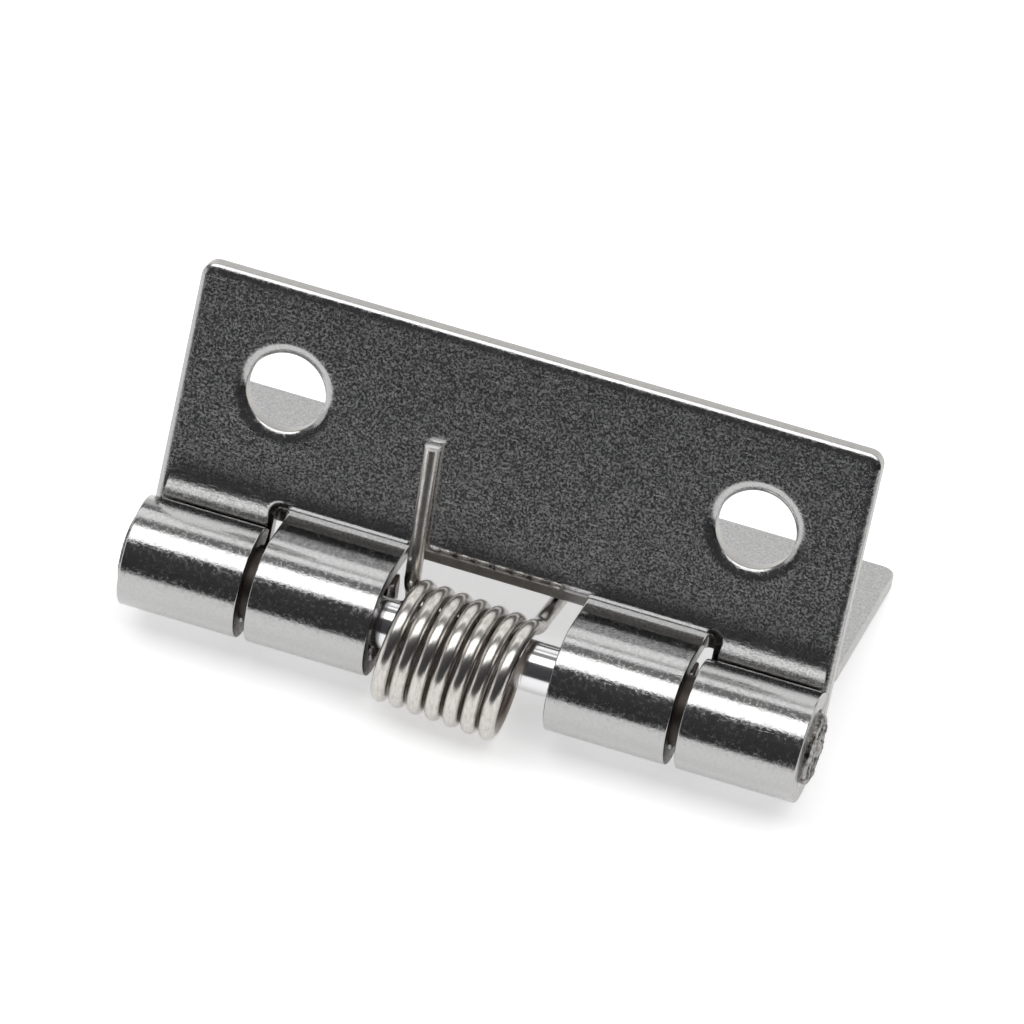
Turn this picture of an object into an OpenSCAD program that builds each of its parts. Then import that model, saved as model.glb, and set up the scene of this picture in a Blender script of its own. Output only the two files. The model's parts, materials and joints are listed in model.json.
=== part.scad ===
// Self-closing spring hinge: two stamped leaves with rolled knuckles, a pin and a torsion spring.
// It lies on a flat surface as a loose hinge does, on its spring coil and on the free edge of the
// inner leaf. X runs along the pin, -Y is the front and +Z is up. The origin is on the surface,
// under the middle of the hinge's box.

/* [Leaves] */
// Length of both leaves along the pin
leaf_length = 38; // [32:0.5:46]
// Width of a leaf from the tangent line of its knuckles to its free edge
leaf_width = 16.2; // [13.5:0.1:22]
// Thickness of the sheet that the leaves are stamped from
sheet_t = 1.05; // [0.85:0.05:1.3]
// Radius of the free corners of a leaf
corner_r = 0.8; // [0.4:0.1:2]

/* [Screw holes] */
// Diameter of the screw holes
hole_d = 4.4; // [3:0.1:5]
// Distance from a hole's centre to the nearer end of the leaf
hole_side = 5.8; // [4:0.1:7]
// Distance from a hole's centre to the free edge of the leaf
hole_back = 6; // [4:0.1:6.5]

/* [Knuckles] */
// Outer diameter of the rolled knuckles
barrel_d = 6.1; // [5.1:0.05:7.3]
// Length of an outer knuckle along the pin
outer_knuckle = 6.6; // [4.5:0.1:8]
// Gap between an outer knuckle and the inner knuckle beside it
knuckle_gap = 0.6; // [0.3:0.05:1]
// Gap between the end of a rolled tongue and the leaf that it comes back to
seam_gap = 0.25; // [0.1:0.05:0.5]

/* [Cut-outs] */
// Clearance of the inner leaf's end notches at the closed stop
stop_gap = 0.05; // [0.03:0.01:0.2]
// How far the outer leaf's long cut-out stands back from the inner leaf
cutout_gap = 0.3; // [0.1:0.05:0.8]
// How far the inner leaf's spring window stands back from the outer leaf
window_gap = 0.5; // [0.1:0.05:1]

/* [Position at rest] */
// Angle between the leaves when the spring holds the hinge closed
closed_angle = 83.5; // [70:0.5:100]

/* [Pin] */
// Radial clearance between the pin and the inner knuckles
pin_clearance = 0.06; // [0.02:0.01:0.1]
// Radial bite of the staked pin ends in the outer knuckles
stake_bite = 0.01; // [0.005:0.005:0.02]
// Length of the staked stretch at each end of the pin
stake_length = 1.6; // [1:0.1:3]
// How far a staked end stands out of the barrel
stand_out = 0.35; // [0.1:0.05:0.6]
// Depth of the pin's waist, where it runs through the spring
waist_depth = 0.54; // [0.4:0.02:0.8]
// How far the waist reaches into each inner knuckle
waist_entry = 0.7; // [0.2:0.1:2]

/* [Spring] */
// Diameter of the spring wire
wire_d = 0.9; // [0.75:0.05:1.1]
// Mean diameter of the coil
coil_d = 6.15; // [5.6:0.05:7.4]
// Gap between one turn of the coil and the next
turn_gap = 0.13; // [0.08:0.01:0.25]
// Number of turns, to the nearest whole turn
coil_turns = 7; // [5:1:8]
// Clearance where the loaded coil is pressed towards the pin's waist
coil_clearance = 0.34; // [0.1:0.02:0.4]
// Gap between the first turn of the coil and the inner knuckle beside it
coil_side_gap = 0.45; // [0.2:0.05:1]
// Gap between the last turn of the coil and the other inner knuckle, room to wind up in
coil_end_gap = 1.61; // [1.3:0.01:2.5]
// Radius of the bend between the coil and a leg, on the wire's centre line
leg_bend_r = 1.6; // [1:0.1:3]
// How far a leg reaches along its leaf
leg_reach = 10; // [7:0.5:13]
// Clearance between a leg and the leaf that it pushes on
leg_gap = 0.02; // [0.01:0.01:0.1]

/* [Hidden] */
$fn = 96;

STEEL = "#b4b6b8";
BRIGHT_STEEL = "#d2d3d4";
SPRING_STEEL = "#a39d96";

// Across the pin: the inner face of a leaf is tangent to its own knuckles, so the two leaves cross
barrel_r = barrel_d / 2;
bore_r = barrel_r - sheet_t;
pin_r = bore_r - pin_clearance;
waist_r = pin_r - waist_depth;
crossing = barrel_r / tan(closed_angle / 2);
notch_reach = crossing + stop_gap;
cutout_reach = crossing + cutout_gap;
window_reach = crossing + window_gap;
tongue_end = acos((bore_r - seam_gap) / barrel_r);

// The legs push the loaded coil forwards and down, at 45 degrees, towards the pin's waist
wire_r = wire_d / 2;
coil_r = coil_d / 2;
coil_offset = coil_r - wire_r - waist_r - coil_clearance;
coil_forward = coil_offset * sin(45);
coil_drop = coil_offset * cos(45);

// Height of the pin axis, and the slope of each leaf as it runs back from the pin
axis_z = coil_drop + coil_r + wire_r;
inner_slope = -asin(axis_z / norm([bore_r, leaf_width])) - atan(bore_r / leaf_width);
outer_slope = inner_slope + closed_angle;

// The hinge's box, front to back, is centred on the origin
back_y = leaf_width * cos(inner_slope) - barrel_r * sin(inner_slope);
front_y = -coil_forward - coil_r - wire_r;
axis_y = -(back_y + front_y) / 2;

// In the plane across the pin a place is [along a leaf, towards the other leaf]
function across(slope, side) = [
    -coil_forward * cos(slope) - coil_drop * sin(slope),
    side * (coil_forward * sin(slope) - coil_drop * cos(slope))
];
outer_centre = across(outer_slope, -1);
inner_centre = across(inner_slope, 1);

// How far the wire has turned past a leaf's side of the coil when it bends away into the leg
leg_height = bore_r - leg_gap - wire_r;
function leaving(centre) = acos((leg_height - centre[1] + leg_bend_r) / (coil_r + leg_bend_r));

// The coil runs from the outer leg to the inner leg, turning from the back down to the front.
// Angles are measured from the back, upwards.
coil_gap = 0.04;
gap_angle = coil_gap / coil_r * 180 / PI;
outer_angle = outer_slope - 90 + leaving(outer_centre);
inner_angle = inner_slope + 90 - leaving(inner_centre);
coil_sweep = 360 * coil_turns + outer_angle - inner_angle;
coil_pitch = wire_d + turn_gap;
coil_length = coil_pitch * coil_sweep / 360;
lead = atan(coil_pitch / (2 * PI * coil_r));

// Along the pin, measured outwards from the middle of the hinge: the spring and the gaps beside it
// set where the inner knuckles start, and the outer knuckles set where they end
inner_start = (coil_side_gap + wire_d + coil_length + coil_end_gap) / 2;
half_length = leaf_length / 2;
outer_start = half_length - outer_knuckle;
inner_end = outer_start - knuckle_gap;
waist_half = inner_start + waist_entry;
coil_start_x = -inner_start + coil_side_gap + wire_r;
coil_end_x = coil_start_x + coil_length;

// The coil's surface is drawn in rings round the wire
RINGS_A_TURN = 24;
WIRE_SIDES = 12;

// Puts a shape drawn about the pin axis in its place above the surface
module on_axis() {
    translate([0, axis_y, axis_z])
        children();
}

// Turns a shape from a leaf's own plane, with Y along the leaf and Z towards the other leaf
module in_leaf(slope, turned_over) {
    rotate([slope, 0, 0])
        mirror([0, 0, turned_over ? 1 : 0])
            children();
}

module both_ends() {
    children();
    mirror([1, 0, 0])
        children();
}

// The corner that a round free corner leaves off
module corner_waste() {
    translate([half_length - corner_r, leaf_width - corner_r])
        difference() {
            square(2 * corner_r);
            circle(corner_r);
        }
}

// The flat part of a leaf: a plate behind reach, its tongues from tongue_from to tongue_to,
// two screw holes, and a window of its own depth between the tongues
module plate(reach, tongue_from, tongue_to, window) {
    translate([0, 0, bore_r])
        linear_extrude(sheet_t)
            difference() {
                union() {
                    translate([-half_length, reach])
                        square([leaf_length, leaf_width - reach]);
                    both_ends()
                        translate([tongue_from, 0])
                            square([tongue_to - tongue_from, leaf_width / 2]);
                }
                translate([-tongue_from, 0])
                    square([2 * tongue_from, window]);
                both_ends() {
                    corner_waste();
                    translate([half_length - hole_side, leaf_width - hole_back])
                        circle(d = hole_d);
                }
            }
}

// A tongue rolled round the pin: it leaves the plate at the top and comes back under it,
// leaving a seam open
module knuckle(from, to) {
    far = 2 * barrel_r;
    translate([from, 0, 0])
        rotate([90, 0, 90])
            linear_extrude(to - from)
                difference() {
                    circle(barrel_r);
                    circle(bore_r);
                    polygon([[0, 0], [0, far], [far, far], far * [sin(tongue_end), cos(tongue_end)]]);
                }
}

// The leaf with the two outer knuckles and one long cut-out between them
module outer_leaf() {
    color(STEEL)
        on_axis()
            in_leaf(outer_slope, true) {
                plate(cutout_reach, outer_start, half_length, cutout_reach);
                both_ends()
                    knuckle(outer_start, half_length);
            }
}

// The leaf with the two inner knuckles, a notch at each end and a window for the spring
module inner_leaf() {
    color(STEEL)
        on_axis()
            in_leaf(inner_slope, false) {
                plate(notch_reach, inner_start, inner_end, window_reach);
                both_ends()
                    knuckle(inner_start, inner_end);
            }
}

// The pin: staked at its ends in the outer knuckles, running in the inner knuckles,
// and waisted through the spring
module hinge_pin() {
    stake_r = bore_r + stake_bite;
    nose_r = 0.75 * pin_r;
    end = half_length + stand_out;
    half_outline = [
        [waist_half, waist_r],
        [waist_half, pin_r],
        [half_length - stake_length, pin_r],
        [half_length - stake_length, stake_r],
        [half_length, stake_r],
        [half_length, pin_r],
        [end, nose_r],
        [end, 0]
    ];
    other_half = [for (i = [len(half_outline) - 1 : -1 : 0]) [-half_outline[i][0], half_outline[i][1]]];
    color(BRIGHT_STEEL)
        on_axis()
            rotate([0, 90, 0])
                rotate_extrude()
                    polygon([for (p = concat(half_outline, other_half)) [p[1], p[0]]]);
}

// A ring of the wire's surface after the coil has turned by turned degrees
function wire_ring(turned) =
    let (
        angle = outer_angle - turned,
        out = [0, cos(angle), sin(angle)],
        ahead = [0, sin(angle), -cos(angle)],
        side = cos(lead) * [1, 0, 0] - sin(lead) * ahead,
        middle = [coil_start_x + coil_pitch * turned / 360, -coil_forward, -coil_drop] + coil_r * out
    )
    [
        for (k = [0 : WIRE_SIDES - 1])
            middle + wire_r * (cos(360 * k / WIRE_SIDES) * out + sin(360 * k / WIRE_SIDES) * side)
    ];

// The coil of the torsion spring, loaded so that it stands forward of the pin
module spring_coil() {
    rings = ceil(coil_sweep / 360 * RINGS_A_TURN);
    step = (coil_sweep - 2 * gap_angle) / rings;
    points = [for (i = [0 : rings]) each wire_ring(gap_angle + i * step)];
    skin = [
        for (i = [0 : rings - 1], k = [0 : WIRE_SIDES - 1])
            let (next = (k + 1) % WIRE_SIDES, here = i * WIRE_SIDES, there = here + WIRE_SIDES)
            each [[here + k, there + k, there + next], [here + k, there + next, here + next]]
    ];
    first_cap = [[for (k = [0 : WIRE_SIDES - 1]) k]];
    last_cap = [[for (k = [WIRE_SIDES - 1 : -1 : 0]) rings * WIRE_SIDES + k]];
    color(SPRING_STEEL)
        on_axis()
            polyhedron(points, concat(skin, first_cap, last_cap));
}

// One leg of the spring over its leaf: a bend away from the coil, then a straight wire along the
// leaf. It goes on sideways at the coil's lead, to the side given as -1 or 1.
module leg(centre, x, side) {
    bend = leaving(centre);
    start_y = centre[0] + coil_r * sin(bend);
    bend_y = leg_bend_r * sin(bend);
    translate([x, start_y, leg_height])
        rotate([0, 0, -side * lead])
            translate([0, bend_y, 0]) {
                rotate([-90, 0, 0])
                    cylinder(h = leg_reach - start_y - bend_y, r = wire_r);
                translate([0, 0, leg_bend_r])
                    rotate([0, -90, 0])
                        rotate_extrude(angle = bend, start = 180)
                            translate([leg_bend_r, 0])
                                circle(wire_r);
            }
}

// The leg that lies on the outer face of the outer leaf
module spring_outer_leg() {
    color(SPRING_STEEL)
        on_axis()
            in_leaf(outer_slope, true)
                leg(outer_centre, coil_start_x, -1);
}

// The leg that passes through the window and under the inner leaf
module spring_inner_leg() {
    color(SPRING_STEEL)
        on_axis()
            in_leaf(inner_slope, false)
                leg(inner_centre, coil_end_x, 1);
}

outer_leaf();
inner_leaf();
hinge_pin();
spring_coil();
spring_outer_leg();
spring_inner_leg();
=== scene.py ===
# %% [markdown]
# # A small spring hinge
# The hinge has two stamped steel leaves with rolled knuckles, a pin and a torsion spring. This
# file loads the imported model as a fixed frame, makes the visible pieces round it, gives them
# their finishes, and sets up a small studio. The frame keeps every size true: each piece is
# worked out in the same place as its solid.

# %% The frame
import json
import math

import bmesh
import bpy
import numpy as np
from mathutils import Matrix, Vector
from mathutils.geometry import delaunay_2d_cdt


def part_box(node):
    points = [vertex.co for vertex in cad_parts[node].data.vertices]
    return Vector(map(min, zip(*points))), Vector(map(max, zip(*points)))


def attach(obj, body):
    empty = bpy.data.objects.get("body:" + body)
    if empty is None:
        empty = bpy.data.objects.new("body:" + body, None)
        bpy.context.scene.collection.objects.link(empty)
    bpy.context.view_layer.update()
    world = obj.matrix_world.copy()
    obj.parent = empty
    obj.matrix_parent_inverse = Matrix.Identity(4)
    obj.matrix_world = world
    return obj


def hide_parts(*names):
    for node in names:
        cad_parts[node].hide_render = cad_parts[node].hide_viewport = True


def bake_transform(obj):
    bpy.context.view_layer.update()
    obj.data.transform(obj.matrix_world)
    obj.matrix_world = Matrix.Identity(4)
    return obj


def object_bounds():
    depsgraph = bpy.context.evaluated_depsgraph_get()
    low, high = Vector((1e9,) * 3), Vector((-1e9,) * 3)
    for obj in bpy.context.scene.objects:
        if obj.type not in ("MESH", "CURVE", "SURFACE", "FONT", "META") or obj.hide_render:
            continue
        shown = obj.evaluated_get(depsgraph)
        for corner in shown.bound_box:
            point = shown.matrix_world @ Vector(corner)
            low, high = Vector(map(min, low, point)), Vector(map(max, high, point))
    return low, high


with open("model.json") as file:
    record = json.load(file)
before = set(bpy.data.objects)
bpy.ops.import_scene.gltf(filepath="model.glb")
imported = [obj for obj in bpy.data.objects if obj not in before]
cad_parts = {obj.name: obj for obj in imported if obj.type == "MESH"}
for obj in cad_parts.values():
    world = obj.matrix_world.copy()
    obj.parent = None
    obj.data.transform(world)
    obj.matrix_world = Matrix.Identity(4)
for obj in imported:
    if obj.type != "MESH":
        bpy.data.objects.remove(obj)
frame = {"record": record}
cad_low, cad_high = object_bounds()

MM = 0.001
print("the hinge's box in mm:", [round(v / MM, 2) for v in (*cad_low, *cad_high)])

# %% [markdown]
# The leaves are cut from sheet and rolled round the pin, so their sizes come in two sets: flat
# sizes along the sheet, and radii round the pin's axis. All of them are in millimetres here, and
# the last step of each mesh turns them into metres. The pin's axis and the leaves' length come
# from the frame. The slope at which the hinge stands is worked out from them: the free edge of
# the inner leaf's outer face has to lie on the table.

# %% Sizes
axis_y, axis_z = (v / MM for v in frame["record"]["behaviour"]["joints"][0]["pos_m"][1:])
half_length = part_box("outer_leaf")[1][0] / MM
LEAF_WIDTH = 16.2
SHEET = 1.05
BARREL_R = 3.05
BORE_R = BARREL_R - SHEET
KNUCKLE_GAP = 0.6
PIN_CLEARANCE = 0.06
CLOSED_ANGLE = math.radians(83.5)
CORNER_R = 0.8
SLOT_CORNER_R = 0.3
HOLE_R = 2.2
HOLE_X = half_length - 5.8
HOLE_Y = LEAF_WIDTH - 6.0
OUTER_START = half_length - 6.6
INNER_END = OUTER_START - KNUCKLE_GAP
INNER_START = 5.05
crossing = BARREL_R / math.tan(CLOSED_ANGLE / 2)
SEAM = 0.25
ROLL = 2 * math.pi - math.acos((BORE_R - SEAM) / BARREL_R)
edge_reach = math.hypot(BORE_R, LEAF_WIDTH)
inner_slope = -math.asin(axis_z / edge_reach) - math.atan(BORE_R / LEAF_WIDTH)
outer_slope = inner_slope + CLOSED_ANGLE
print("pin axis at", round(axis_y, 3), round(axis_z, 3), "mm; leaf slopes",
      round(math.degrees(inner_slope), 1), round(math.degrees(outer_slope), 1), "degrees")

# %% [markdown]
# Every piece is a set of points worked out with whole numpy arrays. A leaf is easiest to think
# of in its own frame, with X along the pin, Y along the leaf and Z towards the other leaf, so one
# function turns that frame to where the leaf lies. The outer leaf is the same thing turned over.

# %% Placing a leaf
def in_place(points, slope, turned_over):
    """Turns points about the pin's axis by slope, after Z is flipped for a leaf that is turned
    over: y' = y cos - z sin, z' = y sin + z cos, plus the axis's place."""
    x, y, z = points.T
    z = -z if turned_over else z
    return np.stack([x, axis_y + y * math.cos(slope) - z * math.sin(slope),
                     axis_z + y * math.sin(slope) + z * math.cos(slope)], axis=1)


def make_piece(name, points, faces, values, sharp):
    """Makes a closed mesh in metres from points in millimetres and a list of faces. Each value
    is kept as an attribute of the points. Doubles are merged, then the faces are turned out, and
    edges that turn by more than sharp degrees stay crisp."""
    mesh = bpy.data.meshes.new(name)
    mesh.from_pydata((points * MM).tolist(), [], faces)
    for key, value in values.items():
        kind, field = ("FLOAT_VECTOR", "vector") if value.ndim == 2 else ("FLOAT", "value")
        slot = mesh.attributes.new(key, kind, "POINT")
        slot.data.foreach_set(field, value.astype(np.float32).ravel())
    work = bmesh.new()
    work.from_mesh(mesh)
    bmesh.ops.remove_doubles(work, verts=work.verts, dist=0.0005 * MM)
    bmesh.ops.recalc_face_normals(work, faces=work.faces)
    open_edges = sum(not edge.is_manifold for edge in work.edges)
    work.to_mesh(mesh)
    work.free()
    mesh.shade_smooth()
    mesh.set_sharp_from_angle(angle=math.radians(sharp))
    piece = bpy.data.objects.new(name, mesh)
    bpy.context.collection.objects.link(piece)
    print(name, len(mesh.vertices), "points,", len(mesh.polygons), "faces,",
          open_edges, "open edges")
    return piece


def grid_faces(rows, columns, closed=False):
    """The four-sided faces of a grid of points counted row by row. A closed grid joins its last
    column to its first."""
    row = np.arange(rows - 1)[:, None]
    column = np.arange(columns if closed else columns - 1)[None, :]
    after = (column + 1) % columns
    here = row * columns
    quads = [here + column, here + after, here + columns + after, here + columns + column]
    return np.stack(quads, axis=-1).reshape(-1, 4)


free_edge = in_place(np.array([[0, LEAF_WIDTH, BORE_R]]), inner_slope, False)[0]
print("the inner leaf's free edge lies", abs(round(free_edge[2], 3)), "mm over the table")

# %% [markdown]
# A press cuts a leaf out of the sheet. The punch drags the skin of the sheet down as it enters,
# which leaves a soft roll-over on one face, then a smooth sheared band, and a crisp edge on the
# other face that tumbling takes the sharpness off. So the edge is a profile, carried along every
# outline of the leaf. A bevel would give a plain round edge, but this one has its two sides.

# %% The cut edge's profile
def edge_profile(roll_width, roll_depth):
    """Points of (distance in from the outline, height) from the inner face down to the outer face:
    a small quarter circle, a straight wall, a sixth of a circle, and a roll-over that falls from
    the outer face by depth * (1 - distance / width) ** 2.3."""
    break_r, round_r, flat = 0.09, 0.07, 0.05
    turn = np.linspace(0, math.pi / 2, 5)
    crisp = np.stack([break_r * (1 - np.sin(turn)),
                      BARREL_R - break_r * (1 - np.cos(turn))], axis=1)
    wall = np.array([[0.0, BARREL_R - 0.35], [0.0, BORE_R + roll_depth + 0.12]])
    bend = np.linspace(0, math.pi / 3, 5)
    lip = np.stack([round_r * (1 - np.cos(bend)),
                    BORE_R + roll_depth + round_r * (1 - np.sin(bend))], axis=1)
    share = np.linspace(0.0, 1.0, 11)[1:]
    soft = np.stack([lip[-1, 0] + (roll_width - lip[-1, 0]) * share,
                     BORE_R + (lip[-1, 1] - BORE_R) * (1 - share) ** 2.3], axis=1)
    first = [[break_r + flat, BARREL_R]]
    last = [[roll_width + flat, BORE_R]]
    return np.concatenate([first, crisp, wall, lip, soft, last])


def on_wall(height, roll_depth):
    """1 on the straight wall of a cut edge, 0 on the faces and on the roll-over."""
    return ((height < BARREL_R - 0.05) & (height > BORE_R + roll_depth + 0.02)).astype(float)


def on_roll_over(height):
    """0 on the outer face, 1 where the roll-over has dropped by more than 0.03 mm."""
    return np.clip((height - BORE_R) / 0.03, 0, 1) * (height < BORE_R + 0.3)


EDGE_DEPTH, HOLE_DEPTH = 0.17, 0.2
EDGE = edge_profile(0.55, EDGE_DEPTH)
HOLE_EDGE = edge_profile(0.7, HOLE_DEPTH)
print("points in an edge's profile:", len(EDGE), "and round a hole:", len(HOLE_EDGE))

# %% [markdown]
# An outline is given by its corners and a radius at each. The function below puts an arc in each
# corner, so that the profile turns smoothly round it.

# %% Outlines
def outline(corners, steps=9):
    """A path through the corners (x, y, radius). An arc at a corner touches both straight sides
    at radius / tan(half the corner's angle) from it, and its points turn evenly between them."""
    path = [np.array([corners[0][:2]])]
    for before, (x, y, radius), after in zip(corners, corners[1:-1], corners[2:]):
        corner = np.array([x, y])
        to_before = np.array(before[:2]) - corner
        to_after = np.array(after[:2]) - corner
        to_before = to_before / np.linalg.norm(to_before)
        to_after = to_after / np.linalg.norm(to_after)
        half = math.acos(np.clip(to_before @ to_after, -1, 1)) / 2
        middle = (to_before + to_after) / np.linalg.norm(to_before + to_after)
        centre = corner + middle * radius / math.sin(half)
        start = to_before * radius / math.tan(half) - (centre - corner)
        end = to_after * radius / math.tan(half) - (centre - corner)
        share = np.linspace(0, 1, steps)[:, None]
        opening = math.pi - 2 * half
        arc = np.sin((1 - share) * opening) * start + np.sin(share * opening) * end
        path.append(centre + arc / math.sin(opening))
    path.append(np.array([corners[-1][:2]]))
    return np.concatenate(path)


def inward(path, closed=False):
    """The direction into the sheet at each point of a path that has the sheet on its left: the
    two sides' normals added and stretched, so that a wall keeps its thickness round a corner."""
    step = np.roll(path, -1, axis=0) - path
    normal = np.stack([-step[:, 1], step[:, 0]], axis=1)
    normal /= np.linalg.norm(normal, axis=1, keepdims=True)
    before = np.roll(normal, 1, axis=0)
    if not closed:
        normal[-1] = before[-1]
        before[0] = normal[0]
    total = normal + before
    return total / (1 + np.sum(normal * before, axis=1, keepdims=True))


def carry(path, profile, closed=False):
    """The edge's surface: every point of the path moved in by the profile's distance, at the
    profile's height. The grid has one row for each point of the profile."""
    flat = path[None, :, :] + profile[:, None, :1] * inward(path, closed)[None, :, :]
    height = np.broadcast_to(profile[:, None, 1:], flat.shape[:2] + (1,))
    return np.concatenate([flat, height], axis=2)

# %% [markdown]
# The two faces of a leaf are flat, with holes in them, so a grid doesn't fit them. A constrained
# triangulation fills the space between the edges' last rows, and triangles outside the leaf are
# left out by counting how many outlines lie between each one and a far point.

# %% Filling a flat face
def fill(loops, height):
    """Triangles of the flat face between closed loops of points: a triangle is kept if a line
    from its middle towards +X crosses the loops an odd number of times."""
    count = np.cumsum([0] + [len(loop) for loop in loops])
    edges = [(first + i, first + (i + 1) % len(loop))
             for loop, first in zip(loops, count) for i in range(len(loop))]
    flat = np.concatenate(loops)
    corners = [Vector(p) for p in flat.tolist()]
    made, _, triangles, *_ = delaunay_2d_cdt(corners, edges, [], 0, 1e-7)
    made = np.array(made)
    triangles = np.array([t for t in triangles if len(t) == 3])
    a, b = flat[np.array(edges)[:, 0]], flat[np.array(edges)[:, 1]]
    middle = made[triangles].mean(axis=1)
    rise = b[:, 1] - a[:, 1]
    rise = np.where(np.abs(rise) < 1e-12, 1e-12, rise)
    share = (middle[:, None, 1] - a[None, :, 1]) / rise[None]
    at = a[None, :, 0] + share * (b - a)[None, :, 0]
    spans = (a[None, :, 1] > middle[:, None, 1]) != (b[None, :, 1] > middle[:, None, 1])
    inside = (spans & (at > middle[:, None, 0])).sum(axis=1) % 2 == 1
    raised = np.concatenate([made, np.full((len(made), 1), height)], axis=1)
    return raised, triangles[inside]

# %% [markdown]
# A knuckle is a tongue of the same sheet rolled round the pin. It starts where the flat leaf
# ends, with exactly the leaf's edge as its sides, and turns down in front of the pin and back up
# to the leaf, where a narrow seam stays open. It could be a cylinder with a hole, but then the
# seam, the sheet's end and the soft edges that show from behind would be missing.

# %% Rolling a knuckle
ACROSS = 9
ROLL_RINGS = 111
END_ROUND = 0.16


def tongue(start, end):
    """A ring round the tongue's section, carried round the pin: a point at height r in the flat
    sheet goes to y = -r sin(turn), z = r cos(turn). The last rings draw in to round the end off.
    Gives what leaf() adds: points, faces, place on the flat sheet, cut, rolled, and the mask of
    painted shade on the side walls between knuckles and round the bore. rolled rises from 0 to 1
    over the first half radian of the roll, and the painted shade over the first 0.3."""
    left = np.stack([start + EDGE[:, 0], EDGE[:, 1]], axis=1)
    right = np.stack([end - EDGE[::-1, 0], EDGE[::-1, 1]], axis=1)
    low = np.linspace(left[-1], right[0], ACROSS + 1)[1:-1]
    high = np.linspace(right[-1], left[0], ACROSS + 1)[1:-1]
    ring = np.concatenate([left, low, right, high])
    centre = np.array([(start + end) / 2, (BARREL_R + BORE_R) / 2])
    half = np.array([(end - start) / 2, SHEET / 2])
    bend = np.linspace(0.25, 1.5, 5)
    draw = np.concatenate([np.zeros(ROLL_RINGS), END_ROUND * (1 - np.cos(bend))])
    end_turn = END_ROUND / BARREL_R
    turn = np.concatenate([np.linspace(0, ROLL - end_turn, ROLL_RINGS),
                           ROLL - end_turn * (1 - np.sin(bend))])
    rings = centre + (ring - centre)[None] * (1 - draw[:, None, None] / half)
    radius = rings[:, :, 1]
    points = np.stack([rings[:, :, 0], -radius * np.sin(turn)[:, None],
                       radius * np.cos(turn)[:, None]], axis=2)
    along = np.broadcast_to(-turn[:, None] * centre[1], radius.shape)
    sheet = np.stack([rings[:, :, 0], along, radius - BORE_R], axis=2)
    faces = grid_faces(len(turn), len(ring), closed=True).tolist()
    faces.append([(len(turn) - 1) * len(ring) + i for i in range(len(ring))])
    wall = on_wall(ring[:, 1], EDGE_DEPTH)[None, :]
    cut = np.broadcast_to(wall, radius.shape).copy()
    cut[ROLL_RINGS:] = 1.0
    rolled = np.maximum(np.clip(turn / 0.5, 0, 1)[:, None], on_roll_over(ring[:, 1])[None, :])
    side = wall * (np.abs(rings[:, :, 0]) < half_length - 1)
    # Painted shade: the side walls that face the next knuckle and the inner face round the bore are
    # marked for a dark colour, where the gaps lie in shade.
    gap_shade = np.maximum(side, ring[None, :, 1] < BORE_R + 0.01) * np.clip(turn / 0.3, 0, 1)[:, None]
    return (points.reshape(-1, 3), faces, sheet.reshape(-1, 3),
            cut.ravel(), rolled.ravel(), gap_shade.ravel())


print("a knuckle rolls through", round(math.degrees(ROLL), 1), "degrees")

# %% [markdown]
# A leaf is then the sum: edges along its outlines, two filled faces, two screw holes and two
# tongues. The pieces of its surface share their border points exactly, so merging doubles closes
# it. Four values stay on the points for the finish: where they were on the flat sheet, how far
# they are on a cut edge, how far they are on a rolled knuckle or a roll-over, and how far they
# are on the side walls between knuckles or in a bore, where the finish paints shade.

# %% Making a leaf
def leaf(name, slope, turned_over, tongue_from, tongue_to, window, notch_corners):
    """window is how far the cut-out between the tongues reaches into the leaf. notch_corners are
    the outline's corners from the tongue's outer side to the free edge on the right; the left
    side mirrors them."""
    right = [(tongue_to, 0.0, 0)] + notch_corners + [(half_length, LEAF_WIDTH, CORNER_R)]
    back = outline(right + [(-x, y, r) for x, y, r in right[::-1]])
    front = outline([(-tongue_from, 0.0, 0), (-tongue_from, window, SLOT_CORNER_R),
                     (tongue_from, window, SLOT_CORNER_R), (tongue_from, 0.0, 0)])
    turn = np.linspace(0, -2 * math.pi, 96, endpoint=False)
    ring = np.stack([np.cos(turn), np.sin(turn)], axis=1) * HOLE_R
    holes = [ring + np.array([side * HOLE_X, HOLE_Y]) for side in (-1, 1)]
    outer_face = np.array([0, 0, BORE_R])
    points, faces = [], []
    values = {"sheet": [], "cut": [], "rolled": [], "gap_shade": []}
    total = 0

    def add(more, more_faces, *more_values):
        nonlocal total
        points.append(more)
        faces.extend([[total + i for i in face] for face in more_faces])
        for kept, value in zip(values.values(), more_values):
            kept.append(value)
        total += len(more)

    strips = [carry(back, EDGE), carry(front, EDGE)]
    strips += [carry(hole, HOLE_EDGE, True) for hole in holes]
    for strip, closed in zip(strips, (False, False, True, True)):
        flat = strip.reshape(-1, 3)
        depth = HOLE_DEPTH if closed else EDGE_DEPTH
        add(flat, grid_faces(strip.shape[0], strip.shape[1], closed).tolist(), flat - outer_face,
            on_wall(flat[:, 2], depth), on_roll_over(flat[:, 2]), np.zeros(len(flat)))
    for row, height in ((0, BARREL_R), (-1, BORE_R)):
        rims = [strip[row, :, :2] for strip in strips]
        across = [np.linspace(rims[0][-1], rims[1][0], ACROSS + 1)[1:-1],
                  np.linspace(rims[1][-1], rims[0][0], ACROSS + 1)[1:-1]]
        around = np.concatenate([rims[0], across[0], rims[1], across[1]])
        flat, triangles = fill([around, rims[2], rims[3]], height)
        none = np.zeros(len(flat))
        add(flat, triangles.tolist(), flat - outer_face, none, none, none)
    for start, end in ((-tongue_to, -tongue_from), (tongue_from, tongue_to)):
        add(*tongue(start, end))
    placed = in_place(np.concatenate(points), slope, turned_over)
    values = {key: np.concatenate(kept) for key, kept in values.items()}
    return make_piece(name, placed, faces, values, 50)

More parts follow.
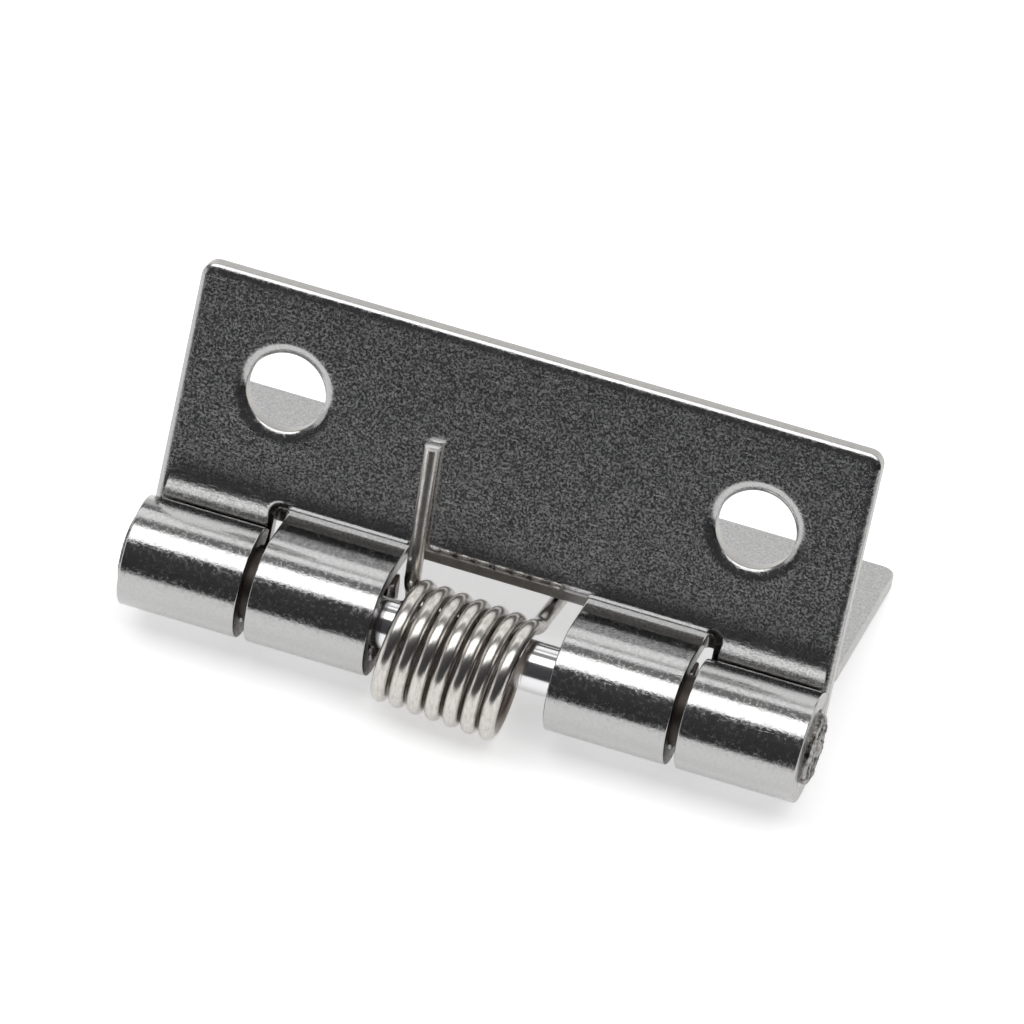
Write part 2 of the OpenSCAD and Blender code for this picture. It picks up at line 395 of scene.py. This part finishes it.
# %% [markdown]
# The outer leaf has one long cut-out between its knuckles. The inner leaf has a window for the
# spring between its knuckles, and a notch at each end, whose edges stop against the outer leaf.
# Where the two leaves cross is set by the barrel's radius and the closed angle.

# %% The two leaves
WINDOW_GAP, CUTOUT_GAP, STOP_GAP = 0.5, 0.3, 0.05
NOTCH_END_R = 0.45
notch = crossing + STOP_GAP
outer_leaf = leaf("outer_leaf_steel", outer_slope, True, OUTER_START, half_length,
                  crossing + CUTOUT_GAP, [])
inner_leaf = leaf("inner_leaf_steel", inner_slope, False, INNER_START, INNER_END,
                  crossing + WINDOW_GAP,
                  [(INNER_END, notch, SLOT_CORNER_R), (half_length, notch, NOTCH_END_R)])
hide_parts("outer_leaf")
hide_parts("inner_leaf")

# %% [markdown]
# The pin is drawn rod, turned down to a waist where it runs through the spring. Its ends are
# staked, which leaves a domed, pitted face that stands out of the barrel a little. A lathe would
# make it, and so does this: a profile carried round the axis, with the end faces pushed in and
# out by a few waves that don't repeat evenly.

# %% The pin
PIN_R, WAIST_R, WAIST_HALF = BORE_R - PIN_CLEARANCE, 1.4, 5.75
FILLET_R, EDGE_R, SHOULDER = 0.2, 0.1, 0.16
pin_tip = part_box("hinge_pin")[1][0] / MM


def pitted(points, end):
    """Pushes an end face's points along X, where end is 1 on the right and -1 on the left: slow
    waves make the hammered hollows, fast ones the pits, and a bell shape of radius 0.7 a dimple in
    the middle. All of them fade to nothing at the rim."""
    y, z = points[..., 1], points[..., 2]
    radius = np.hypot(y, z)
    fade = np.clip((PIN_R - EDGE_R - radius) / 0.2, 0, 1)
    hollows = 0.07 * np.sin(2.9 * y + 1.3 + end) * np.cos(3.3 * z - 0.4)
    hollows = hollows + 0.05 * np.sin(7.1 * y - 5.3 * z + 2 * end)
    pits = 0.035 * np.sin(13.7 * y + 3.0) * np.sin(16.1 * z + end)
    dimple = 0.09 * np.exp(-(radius / 0.7) ** 2)
    moved = points.copy()
    moved[..., 0] += end * fade * (hollows + pits - dimple)
    return moved


def hinge_pin():
    """Rings of radius r at x, from the middle of one end face to the other: round lands, a waist
    with small fillets, and shoulders that draw in to the staked faces. Each rounding is a quarter
    circle or ellipse: x and r change by 1 - sin(bend) and 1 - cos(bend)."""
    bend = np.linspace(0, math.pi / 2, 8)
    sine, cosine = 1 - np.sin(bend), 1 - np.cos(bend)
    waist = np.stack([np.linspace(0.15, WAIST_HALF - 0.3, 20), np.full(20, WAIST_R)], axis=1)
    fillet = np.stack([WAIST_HALF - FILLET_R * sine, WAIST_R + FILLET_R * cosine], axis=1)
    lip = np.stack([WAIST_HALF + EDGE_R * cosine, PIN_R - EDGE_R * sine], axis=1)
    land = np.stack([np.linspace(WAIST_HALF + 0.3, pin_tip - 0.5, 24), np.full(24, PIN_R)], axis=1)
    shoulder = np.stack([pin_tip - SHOULDER * sine, PIN_R - EDGE_R * cosine], axis=1)
    face = np.stack([np.full(20, pin_tip), np.linspace(PIN_R - EDGE_R - 0.01, 0.0005, 20)], axis=1)
    half = np.concatenate([waist, fillet, lip, land, shoulder, face])
    profile = np.concatenate([half[::-1] * [-1, 1], half])
    turn = np.linspace(0, 2 * math.pi, 128, endpoint=False)
    x = np.broadcast_to(profile[:, :1], (len(profile), len(turn)))
    rings = np.stack([x, profile[:, 1:] * np.cos(turn), profile[:, 1:] * np.sin(turn)], axis=2)
    end = len(face)
    rings[:end] = pitted(rings[:end], -1.0)
    rings[-end:] = pitted(rings[-end:], 1.0)
    faces = grid_faces(len(profile), len(turn), closed=True).tolist()
    faces.append(list(range(len(turn)))[::-1])
    faces.append([(len(profile) - 1) * len(turn) + i for i in range(len(turn))])
    staked = np.zeros(rings.shape[:2])
    end += len(shoulder)
    staked[:end] = staked[-end:] = 1
    out_along = np.abs(rings[..., 0])
    # Mask of the duller finish and of the painted shade where the pin runs inside the knuckles and
    # the gaps between them.
    dull_and_shaded = np.clip((out_along - INNER_START - 0.1) / 0.6, 0, 1)
    dull_and_shaded = dull_and_shaded * np.clip((pin_tip - 0.6 - out_along) / 0.4, 0, 1)
    points = rings.reshape(-1, 3) + np.array([0, axis_y, axis_z])
    values = {"staked": staked.ravel(), "dull_and_shaded": dull_and_shaded.ravel()}
    return make_piece("hinge_pin_rod", points, faces, values, 60)


pin = hinge_pin()
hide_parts("hinge_pin")

# %% [markdown]
# The spring is one wire: a leg that lies on the outer leaf, a bend, seven close turns round the
# pin's waist, another bend, and a leg under the inner leaf. The legs push the coil forwards and
# down off the pin's axis, and it leans a little on the pin. The wire's middle line comes first,
# from leg tip to leg tip: each leg is worked out in its leaf's frame, and the coil between them.

# %% The wire's middle line
WIRE_R = 0.45
COIL_R = 3.075
COIL_PITCH = 1.03
TURNS = 7
LEG_BEND = 1.6
LEG_REACH = 10.0
LEG_GAP = 0.02
LEG_HEIGHT = BORE_R - LEG_GAP - WIRE_R
COIL_INSET = 0.45
COIL_CLEARANCE = 0.34
COIL_OFFSET = (COIL_R - WIRE_R - WAIST_R - COIL_CLEARANCE) * math.sqrt(0.5)
LEAD = math.atan(COIL_PITCH / (2 * math.pi * COIL_R))
LEAN = math.radians(3.3)
LEAN_AXIS = Vector((0, -0.64, 0.77))
LEAN_FADE = 2.4
LEAN_LIFT = 0.1


def coil_centre(slope, side):
    """The coil's middle in a leaf's frame: (along the leaf, towards the other leaf)."""
    c, s = math.cos(slope), math.sin(slope)
    return -COIL_OFFSET * (c + s), side * COIL_OFFSET * (s - c)


def leaving(centre):
    """The angle at which the bend, a circle outside the coil, touches both coil and leg."""
    return math.acos((LEG_HEIGHT - centre[1] + LEG_BEND) / (COIL_R + LEG_BEND))


def leg_line(centre, x, side):
    """From the coil to the leg's tip in the leaf's frame: an arc of the bend's radius, then a
    straight run, both leaning sideways by the coil's lead."""
    bend = leaving(centre)
    start = centre[0] + COIL_R * math.sin(bend)
    turn = np.linspace(bend, 0, 14)
    run = LEG_BEND * math.sin(bend)
    straight = np.linspace(0, 1, 28)[1:] * (LEG_REACH - start - run)
    y = np.concatenate([LEG_BEND * (math.sin(bend) - np.sin(turn)), run + straight])
    z = np.concatenate([LEG_BEND * (1 - np.cos(turn)), np.zeros(len(straight))])
    return np.stack([x + side * y * math.sin(LEAD), start + y * math.cos(LEAD),
                     LEG_HEIGHT + z], axis=1)


def run_along(line):
    """The distance along a line of points: the steps' lengths, added up from 0."""
    return np.concatenate([[0], np.cumsum(np.linalg.norm(np.diff(line, axis=0), axis=1))])


def leaned(outer_leg, coil, inner_leg):
    """The loaded coil leans on the pin. It turns by the lean about its middle, round an axis that
    points forwards and up, and is lifted so that it still stands on the table. Each leg's first
    stretch follows it, by (1 - run / LEAN_FADE) ** 2 of what the coil's end moved."""
    middle = (coil[0] + coil[-1]) / 2
    turn = np.array(Matrix.Rotation(-LEAN, 3, LEAN_AXIS))
    moved = (coil - middle) @ turn.T + middle + [0, 0, LEAN_LIFT]
    legs = []
    for leg, shift in ((outer_leg, moved[0] - coil[0]), (inner_leg, moved[-1] - coil[-1])):
        share = np.clip(1 - run_along(leg) / LEAN_FADE, 0, 1)[:, None] ** 2
        legs.append(leg + share * shift)
    return legs[0], moved, legs[1]


def wire_line():
    """Leg tip to leg tip. The coil's middle line is a left-hand helix about the pushed centre:
    angle falls from the outer leg's bend to the inner leg's, and x grows by the pitch a turn."""
    outer, inner = coil_centre(outer_slope, -1), coil_centre(inner_slope, 1)
    first = outer_slope - math.pi / 2 + leaving(outer)
    last = inner_slope + math.pi / 2 - leaving(inner)
    sweep = 2 * math.pi * TURNS + first - last
    start_x = -INNER_START + COIL_INSET + WIRE_R
    turned = np.linspace(0, sweep, 72 * TURNS + 1)
    coil = np.stack([start_x + COIL_PITCH * turned / (2 * math.pi),
                     axis_y - COIL_OFFSET + COIL_R * np.cos(first - turned),
                     axis_z - COIL_OFFSET + COIL_R * np.sin(first - turned)], axis=1)
    outer_leg = in_place(leg_line(outer, start_x, -1), outer_slope, True)
    inner_leg = in_place(leg_line(inner, coil[-1, 0], 1), inner_slope, False)
    end_x = coil[-1, 0]
    misses = [np.linalg.norm(outer_leg[0] - coil[0]), np.linalg.norm(inner_leg[0] - coil[-1])]
    print("coil from x", round(start_x, 2), "to", round(end_x, 2), "mm; joins miss by",
          [round(float(miss), 5) for miss in misses])
    outer_leg, coil, inner_leg = leaned(outer_leg, coil, inner_leg)
    return np.concatenate([outer_leg[::-1], coil[1:-1], inner_leg]), start_x, end_x

# %% [markdown]
# A circle is carried along the middle line. A curve with a bevel would do the same, but the mesh
# gives even rings and keeps the distance along the wire for the drawn lines of its finish. The
# cutter squeezes each tip, so it flares a little just before it draws in.

# %% The spring
NIP_SHARES = np.array([0.8, 1.03, 1.04, 1.0])
NIP_RUNS = np.array([0.0, 0.05, 0.12, 0.22])


def wire(line, sides=20):
    """A circle carried along the line. Its two axes are the tangent crossed with X, which is
    never along this wire, and the tangent crossed with that. The last rings at each end have the
    nipped radii, and each end is capped."""
    tangent = np.gradient(line, axis=0)
    tangent /= np.linalg.norm(tangent, axis=1, keepdims=True)
    out = np.cross(tangent, [1.0, 0, 0])
    out /= np.linalg.norm(out, axis=1, keepdims=True)
    up = np.cross(tangent, out)
    nips = len(NIP_RUNS)
    head = line[0] + tangent[0] * NIP_RUNS[:, None]
    tail = line[-1] - tangent[-1] * NIP_RUNS[:, None]
    line = np.concatenate([head, line[1:-1], tail[::-1]])
    out, up = (np.concatenate([axis[:1].repeat(nips, 0), axis[1:-1], axis[-1:].repeat(nips, 0)])
               for axis in (out, up))
    radius = WIRE_R * np.concatenate([NIP_SHARES, np.ones(len(line) - 2 * nips), NIP_SHARES[::-1]])
    turn = np.linspace(0, 2 * math.pi, sides, endpoint=False)[None, :, None]
    circle = np.cos(turn) * out[:, None] + np.sin(turn) * up[:, None]
    rings = line[:, None] + radius[:, None, None] * circle
    around = np.broadcast_to(turn[0, :, 0], rings.shape[:2])
    along = np.broadcast_to(run_along(line)[:, None], around.shape)
    drawn = np.stack([np.cos(around), np.sin(around), along], axis=2)
    tip = np.zeros(rings.shape[:2])
    tip[:nips] = tip[-nips:] = 1
    coil_axis = np.array([0, axis_y - COIL_OFFSET, axis_z - COIL_OFFSET])
    facing = (rings - line[:, None]) / WIRE_R
    outwards = (line - coil_axis) * [0, 1, 1]
    distance = np.linalg.norm(outwards, axis=1)
    on_coil = np.clip(1 - np.abs(distance - COIL_R) / 0.3, 0, 1)[:, None]
    turned_out = np.sum(facing * (outwards / distance[:, None])[:, None], axis=2)
    # Painted shade: on the coil, the side of the wire that faces the pin and the next turns is
    # marked for a dark brown colour.
    shade_between_turns = on_coil * np.clip((0.2 - turned_out) / 0.45, 0, 1)
    faces = grid_faces(len(line), sides, closed=True).tolist()
    faces.append(list(range(sides))[::-1])
    faces.append([(len(line) - 1) * sides + i for i in range(sides)])
    values = {"drawn": drawn.reshape(-1, 3), "tip": tip.ravel(), "shade_between_turns": shade_between_turns.ravel()}
    return make_piece("torsion_spring_wire", rings.reshape(-1, 3), faces, values, 50)


middle_line, coil_from, coil_to = wire_line()
spring = wire(middle_line)
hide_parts("spring_coil", "spring_outer_leg", "spring_inner_leg")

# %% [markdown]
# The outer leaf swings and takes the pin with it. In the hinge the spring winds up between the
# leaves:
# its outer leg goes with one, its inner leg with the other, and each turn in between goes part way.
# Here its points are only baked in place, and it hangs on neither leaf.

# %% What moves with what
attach(outer_leaf, "outer")
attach(inner_leaf, "inner")
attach(pin, "outer")
coil_from * MM
axis_y * MM
axis_z * MM
coil_to * MM
axis_y * MM
axis_z * MM
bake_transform(spring)
print("the spring winds up from x", round(coil_from, 2), "to", round(coil_to, 2), "mm")

# %% [markdown]
# Finishes are node trees. Writing them as sums in Python keeps them short: a Value is a socket
# that can be added to and multiplied, and a Finish adds any node by its type, its settings and
# what goes into its sockets.

# %% Shader maths
class Value:
    """A node's output that works in sums."""

    def __init__(self, finish, socket):
        self.finish, self.socket = finish, socket

    def maths(self, operation, first, second):
        return self.finish.add("ShaderNodeMath", {"operation": operation}, {0: first, 1: second})

    def __add__(self, other):
        return self.maths("ADD", self, other)

    def __sub__(self, other):
        return self.maths("SUBTRACT", self, other)

    def __rsub__(self, other):
        return self.maths("SUBTRACT", other, self)

    def __mul__(self, other):
        return self.maths("MULTIPLY", self, other)

    __radd__ = __add__
    __rmul__ = __mul__

    def between(self, low, high):
        """0 below low, 1 above high, and an S-shaped rise between them."""
        return self.finish.add("ShaderNodeMapRange", {"interpolation_type": "SMOOTHSTEP"},
                               {"Value": self, "From Min": low, "From Max": high})


class Finish:
    """A material under construction."""

    def __init__(self, name, **constants):
        self.material = bpy.data.materials.new(name)
        self.material.use_nodes = True
        self.tree = self.material.node_tree
        self.shader = self.tree.nodes["Principled BSDF"]
        for key, value in constants.items():
            self.shader.inputs[key.replace("_", " ")].default_value = value

    def put(self, socket, value):
        if isinstance(value, Value):
            self.tree.links.new(value.socket, socket)
        else:
            socket.default_value = value

    def add(self, kind, settings, sockets, output=0):
        node = self.tree.nodes.new(kind)
        for key, value in settings.items():
            setattr(node, key, value)
        for key, value in sockets.items():
            self.put(node.inputs[key], value)
        return Value(self, node.outputs[output])

    def kept(self, name, output="Fac"):
        """A value that was kept on the mesh's points."""
        return self.add("ShaderNodeAttribute", {"attribute_name": name}, {}, output)

    def place(self):
        return self.add("ShaderNodeTexCoord", {}, {}, "Object")

    def stretched(self, vector, scale):
        return self.add("ShaderNodeVectorMath", {"operation": "MULTIPLY"}, {0: vector, 1: scale})

    def noise(self, vector, scale, detail, roughness):
        return self.add("ShaderNodeTexNoise", {}, {"Vector": vector, "Scale": scale,
                                                   "Detail": detail, "Roughness": roughness})

    def mix(self, share, first, second):
        """The first colour where share is 0, the second where it is 1."""
        node = self.tree.nodes.new("ShaderNodeMix")
        node.data_type = "RGBA"
        for key, value in zip((0, 6, 7), (share, first, second)):
            self.put(node.inputs[key], value)
        return Value(self, node.outputs[2])

    def end(self, piece, colour, roughness, height, depth):
        """Plugs the finish in, with height as a bump of that depth in metres, and puts it on."""
        self.put(self.shader.inputs["Base Color"], colour)
        self.put(self.shader.inputs["Roughness"], roughness)
        bump = self.add("ShaderNodeBump", {}, {"Strength": 1.0, "Distance": depth,
                                               "Height": height})
        self.put(self.shader.inputs["Normal"], bump)
        piece.data.materials.clear()
        piece.data.materials.append(self.material)
        print(self.material.name, "on", piece.name, "with", len(self.tree.nodes), "nodes")

# %% [markdown]
# The leaves are stainless sheet that came out of a tumbler: satin, with a fine speckle of tiny
# dents and short scratches in every direction. The rolling dies polished the knuckles and a strip
# of the leaf beside them, and the cut edges show fine lines through the sheet. Under a soft light
# the speckle breaks the reflections up mostly by its changing roughness, with a shallow bump and a
# little colour added, since the bottoms of the dents are duller than the skin round them. Noise on
# the piece's place is scaled per metre, so 8000 gives specks of an eighth of a millimetre; noise on
# the flat sheet is scaled per millimetre.

# %% Leaf steel
def leaf_steel(piece):
    steel = Finish("satin stainless sheet", Metallic=1.0)
    dark_skin, light_skin = (0.41, 0.408, 0.405, 1), (0.62, 0.62, 0.62, 1)
    sheared, painted_gap_shade = (0.40, 0.385, 0.365, 1), (0.07, 0.055, 0.045, 1)
    place = steel.place()
    sheet = steel.kept("sheet", "Vector")
    cut = steel.kept("cut")
    rolled = steel.kept("rolled")
    gap_shade = steel.kept("gap_shade")
    speckle = steel.noise(place, 8200.0, 2.0, 0.6)
    dents = steel.noise(place, 3600.0, 2.0, 0.5)
    slow = steel.noise(place, 240.0, 2.0, 0.5)
    hair_a = steel.noise(steel.stretched(sheet, (9.0, 0.9, 1.0)), 1.0, 2.0, 0.6)
    hair_b = steel.noise(steel.stretched(sheet, (0.8, 8.0, 1.0)), 1.0, 2.0, 0.6)
    striped = steel.noise(steel.stretched(sheet, (11.0, 11.0, 0.5)), 1.0, 2.0, 0.5)
    scratches = hair_a.between(0.62, 0.7) + hair_b.between(0.63, 0.7)
    along_leaf = steel.add("ShaderNodeSeparateXYZ", {}, {0: sheet}, 1)
    pressed = (1.0 - rolled) * along_leaf.between(5.0, 3.6) + rolled
    grain = steel.noise(place, 7600.0, 3.0, 0.75).between(0.3, 0.72)
    scuffs = steel.noise(place, 4200.0, 4.0, 0.75).between(0.4, 0.68)
    height = (speckle * 0.8 + dents * 0.4 - scratches * 0.25) * (1.0 - pressed * 0.3)
    height = height + slow * (0.6 - rolled * 0.4) + striped * cut * 0.7
    shade = grain * (1.0 - rolled * 0.8) + rolled * 0.1
    colour = steel.mix(shade, dark_skin, light_skin)
    colour = steel.mix(cut * 0.8, colour, sheared)
    # Painted shade: the knuckles' side walls and bores are coloured a near-black brown.
    colour = steel.mix(gap_shade * 0.9, colour, painted_gap_shade)
    roughness = 0.08 + grain * (0.3 - pressed * 0.26) + scuffs * rolled * 0.2 + cut * 0.18
    steel.end(piece, colour, roughness, height, 0.0075 * MM)


leaf_steel(outer_leaf)
leaf_steel(inner_leaf)

# %% [markdown]
# The pin is bright drawn rod with fine rings from the lathe. Its staked ends are rough and nearly
# black in the pits. Inside the knuckles and in the gaps between them it is duller, and there its
# colour is a painted shade of dark brown.

# %% Pin steel
def pin_steel(piece):
    steel = Finish("bright rod", Metallic=1.0)
    rod, hammered = (0.76, 0.76, 0.77, 1), (0.36, 0.35, 0.34, 1)
    pit_black, painted_bore_shade = (0.05, 0.045, 0.04, 1), (0.10, 0.085, 0.075, 1)
    place = steel.place()
    staked = steel.kept("staked")
    dull_and_shaded = steel.kept("dull_and_shaded") * (1.0 - staked)
    rings = steel.noise(steel.stretched(place, (9000.0, 300.0, 300.0)), 1.0, 2.0, 0.5)
    pits = steel.noise(place, 1700.0, 4.0, 0.65)
    colour = steel.mix(staked, rod, hammered)
    colour = steel.mix(staked * pits.between(0.6, 0.4), colour, pit_black)
    # Painted shade: inside the knuckles and in their gaps the rod is coloured dark brown.
    colour = steel.mix(dull_and_shaded, colour, painted_bore_shade)
    roughness = 0.12 + staked * 0.2 + dull_and_shaded * 0.35 + rings * 0.06
    height = rings * (1.0 - staked) * 0.2 + pits * staked * 3.0
    steel.end(piece, colour, roughness, height, 0.02 * MM)


pin_steel(pin)

# %% [markdown]
# Spring wire is drawn through a die, which leaves faint lines along it, and it keeps a slightly
# warm tint from its heat treatment. The nipped tips are bright. Where the turns face each other
# and the pin, the wire's colour is a painted shade of dark brown.

# %% Spring wire
def spring_wire(piece):
    steel = Finish("drawn spring wire", Metallic=1.0)
    pale_wire, warm_wire = (0.62, 0.60, 0.57, 1), (0.48, 0.455, 0.42, 1)
    nipped, painted_turn_shade = (0.86, 0.86, 0.86, 1), (0.16, 0.11, 0.075, 1)
    drawn = steel.kept("drawn", "Vector")
    tip = steel.kept("tip")
    shade_between_turns = steel.kept("shade_between_turns")
    lines = steel.noise(steel.stretched(drawn, (9.0, 9.0, 0.35)), 1.0, 2.0, 0.6)
    marks = steel.noise(steel.stretched(drawn, (3.0, 3.0, 2.2)), 1.0, 3.0, 0.6)
    colour = steel.mix(marks.between(0.35, 0.75), pale_wire, warm_wire)
    colour = steel.mix(tip * 0.8, colour, nipped)
    # Painted shade: dark brown where the turns face each other and the pin.
    colour = steel.mix(shade_between_turns * 0.75, colour, painted_turn_shade)
    roughness = 0.15 + marks * 0.14 + tip * 0.2 + shade_between_turns * 0.2
    steel.end(piece, colour, roughness, lines * 0.8 + marks * 0.5, 0.01 * MM)


spring_wire(spring)

# %% [markdown]
# The hinge stands on a plain pale table that curves up all round, so that no edge shows behind
# it. The table glows a little, which keeps it white under the soft light.

# %% The table
def surface(name, points, faces):
    """A piece of the studio, not of the hinge, from points in metres."""
    mesh = bpy.data.meshes.new(name)
    mesh.from_pydata(points.tolist(), [], faces.tolist())
    mesh.shade_smooth()
    thing = bpy.data.objects.new(name, mesh)
    bpy.context.collection.objects.link(thing)
    return thing


def plain(name, colour, roughness, glow=0.0):
    """A plain material. glow is the strength of the white light that it gives out itself."""
    material = bpy.data.materials.new(name)
    material.use_nodes = True
    shader = material.node_tree.nodes["Principled BSDF"]
    shader.inputs["Base Color"].default_value = (*colour, 1)
    shader.inputs["Roughness"].default_value = roughness
    shader.inputs["Emission Color"].default_value = (1, 1, 1, 1)
    shader.inputs["Emission Strength"].default_value = glow
    return material


TABLE_R, CURVE_R, TABLE_DROP = 1.5, 0.8, 0.00002
bend = np.linspace(0, math.pi / 2, 16)
curve = np.stack([TABLE_R + CURVE_R * np.sin(bend), CURVE_R * (1 - np.cos(bend))], axis=1)
bowl = np.concatenate([[[0.000001, 0]], curve])
around = np.linspace(0, 2 * math.pi, 96, endpoint=False)
height = np.broadcast_to(bowl[:, 1:], (len(bowl), len(around)))
bowl_points = np.stack([bowl[:, :1] * np.cos(around), bowl[:, :1] * np.sin(around), height], axis=2)
bowl_points[..., 2] -= TABLE_DROP
bowl_faces = grid_faces(len(bowl), len(around), closed=True)[:, ::-1]
table = surface("table", bowl_points.reshape(-1, 3), bowl_faces)
table.data.materials.append(plain("pale table", (0.8, 0.8, 0.8), 0.7, 0.5))
print("table", round(2 * TABLE_R, 2), "m across")

# %% [markdown]
# Polished steel shows its surroundings, so the rest of the studio is placed by what the barrel
# should reflect. Going up from the front there are a dark cloth and a dark card, a soft box
# overhead, a narrow gap, and a second soft box behind. Another dark card stands on the right. The
# cloth and the cards lie out of the camera's view.

# %% Lights and dark cards
CARD_R = 0.9
CARD_HALF_WIDTH = 1.1
CLOTH_FROM, CLOTH_HEIGHT = 0.17, 0.0006
SIDE_BACK, SIDE_FOOT, SIDE_TOP = 0.5, 0.001, 0.6


def arc_card(name, low, high, half_width):
    """A part of a cylinder about the X axis, from low to high degrees above the front horizon."""
    turn = np.radians(np.linspace(low, high, 24))
    x = np.array([[-half_width, half_width]])
    y, z = -CARD_R * np.cos(turn)[:, None], CARD_R * np.sin(turn)[:, None]
    points = np.stack(np.broadcast_arrays(x, y, z), axis=2)
    return surface(name, points.reshape(-1, 3), grid_faces(len(turn), 2))


def flat_card(name, corners):
    """One four-sided face through the corners."""
    return surface(name, np.array(corners), np.array([[0, 1, 2, 3]]))


def soft_box(name, angle, width, length, radiance):
    """A light on the same cylinder, facing the hinge. Its power is radiance times pi times area."""
    lamp = bpy.data.lights.new(name, "AREA")
    lamp.shape, lamp.size, lamp.size_y = "RECTANGLE", length, width
    lamp.energy = radiance * math.pi * width * length
    thing = bpy.data.objects.new(name, lamp)
    turn = math.radians(angle)
    thing.location = (0, -CARD_R * math.cos(turn), CARD_R * math.sin(turn))
    thing.rotation_euler = (-Vector(thing.location)).to_track_quat("-Z", "Y").to_euler()
    bpy.context.collection.objects.link(thing)


dark = plain("dark cloth", (0.085, 0.085, 0.09), 0.9)
card = arc_card("dark_card", low=0.5, high=66.0, half_width=CARD_HALF_WIDTH)
cloth = flat_card("dark_cloth", [(-CARD_HALF_WIDTH, -CARD_R, CLOTH_HEIGHT),
                                 (CARD_HALF_WIDTH, -CARD_R, CLOTH_HEIGHT),
                                 (CARD_HALF_WIDTH, -CLOTH_FROM, CLOTH_HEIGHT),
                                 (-CARD_HALF_WIDTH, -CLOTH_FROM, CLOTH_HEIGHT)])
side_card = flat_card("side_card", [(CARD_R, -CARD_R, SIDE_FOOT), (CARD_R, SIDE_BACK, SIDE_FOOT),
                                    (CARD_R, SIDE_BACK, SIDE_TOP), (CARD_R, -CARD_R, SIDE_TOP)])
for thing in (card, cloth, side_card):
    thing.data.materials.append(dark)
soft_box("overhead_soft_box", angle=83.0, width=0.5, length=1.8, radiance=2.4)
soft_box("back_soft_box", angle=131.0, width=0.4, length=1.8, radiance=1.2)
print("two soft boxes and two dark cards", CARD_R, "m away, and a cloth in front")
world = bpy.data.worlds.new("studio")
bpy.context.scene.world = world
world.use_nodes = True
world.node_tree.nodes["Background"].inputs["Color"].default_value = (1, 1, 1, 1)
world.node_tree.nodes["Background"].inputs["Strength"].default_value = 0.25
bpy.context.scene.view_settings.view_transform = "Standard"

# %% [markdown]
# The camera stands well back with a long lens, which keeps the hinge's far side nearly as large
# as its near side. It looks down at about fifty degrees from a little right of the front, and is
# rolled a little, which tilts the hinge in the frame.

# %% The camera
AZIMUTH, ELEVATION, ROLL_ANGLE, DISTANCE = 15.25, 49.4, 4.65, 0.606
FOCAL = 400.0
centre = (cad_low + cad_high) / 2
a, e = math.radians(AZIMUTH), math.radians(ELEVATION)
towards = Vector((math.sin(a) * math.cos(e), -math.cos(a) * math.cos(e), math.sin(e)))
lens = bpy.data.cameras.new("camera")
lens.lens = FOCAL
camera = bpy.data.objects.new("camera", lens)
camera.location = centre + towards * DISTANCE
aim = (-towards).to_track_quat("-Z", "Y").to_matrix()
roll = Matrix.Rotation(math.radians(ROLL_ANGLE), 3, "Z")
camera.rotation_euler = (aim @ roll).to_euler()
bpy.context.collection.objects.link(camera)
bpy.context.scene.camera = camera
print("camera", round(DISTANCE, 3), "m away,", FOCAL, "mm lens")
